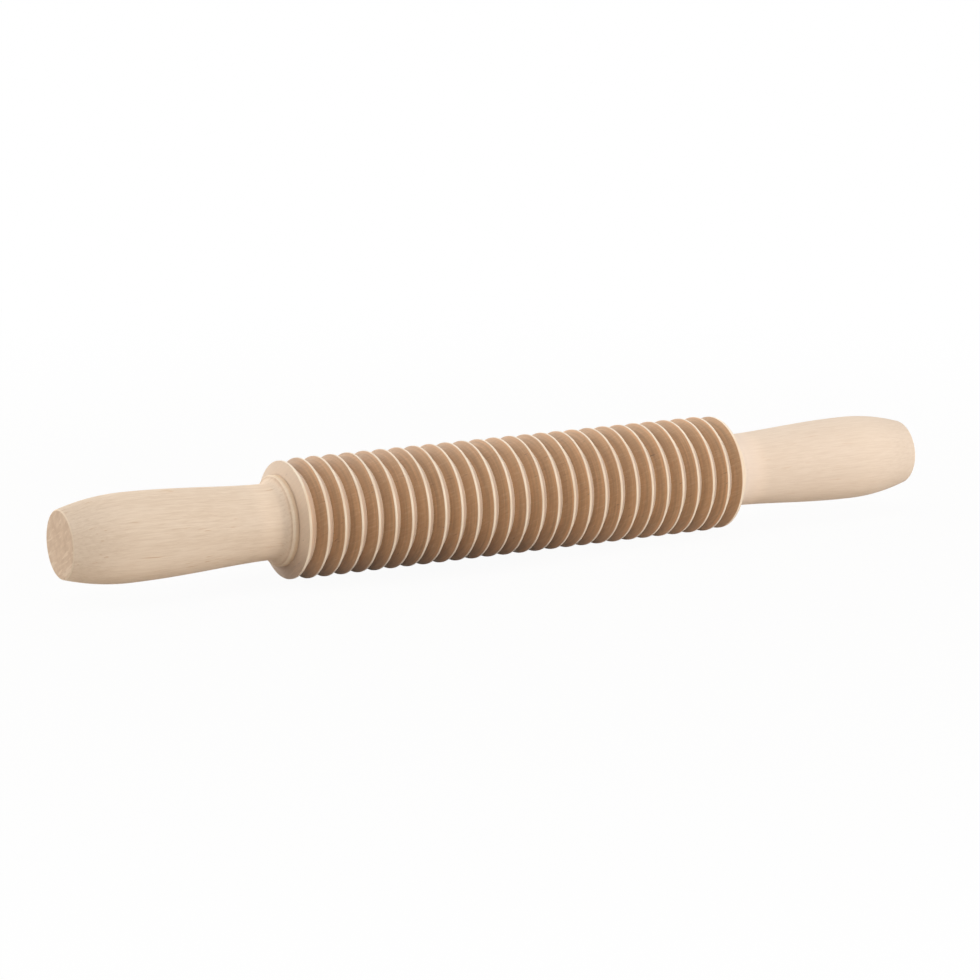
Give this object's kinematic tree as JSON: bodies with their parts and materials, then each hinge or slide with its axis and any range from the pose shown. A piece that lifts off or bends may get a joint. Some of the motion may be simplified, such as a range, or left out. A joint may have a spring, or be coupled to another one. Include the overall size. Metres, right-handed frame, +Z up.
{
  "type": "pasta cutter rolling pin",
  "caption": "Beech rolling pin whose sharp rings cut dough sheets into strips; the ringed roller turns on a steel axle between two turned handles.",
  "frame": {"origin": "middle of the pin's length, on the surface that the pin lies on, straight under the axle", "axes": "+X along the axle towards the right handle, +Z up from the surface, +Y across the pin"},
  "size_m": [0.3164, 0.0388, 0.0388],
  "materials": {
    "handle_beech": "bare beech, fine sanded, pale cream with short brown flecks",
    "roller_beech": "bare beech, groove flanks burnished brown by the cutter, crests pale",
    "steel": "drawn bright rod",
    "nylon": "natural moulded nylon",
    "brass": "machined"
  },
  "bodies": {
    "handles": {"left_handle": "handle_beech", "right_handle": "handle_beech", "axle": "steel", "left_insert": "brass", "right_insert": "brass", "left_washer": "steel", "right_washer": "steel"},
    "roller": {"roller": "roller_beech", "left_bush": "nylon", "right_bush": "nylon"}
  },
  "joints": [
    {"name": "roller_spin", "type": "hinge", "parent": "handles", "child": "roller", "pos_m": [0, 0, 0.0194], "axis": [1, 0, 0], "continuous": true}
  ]
}
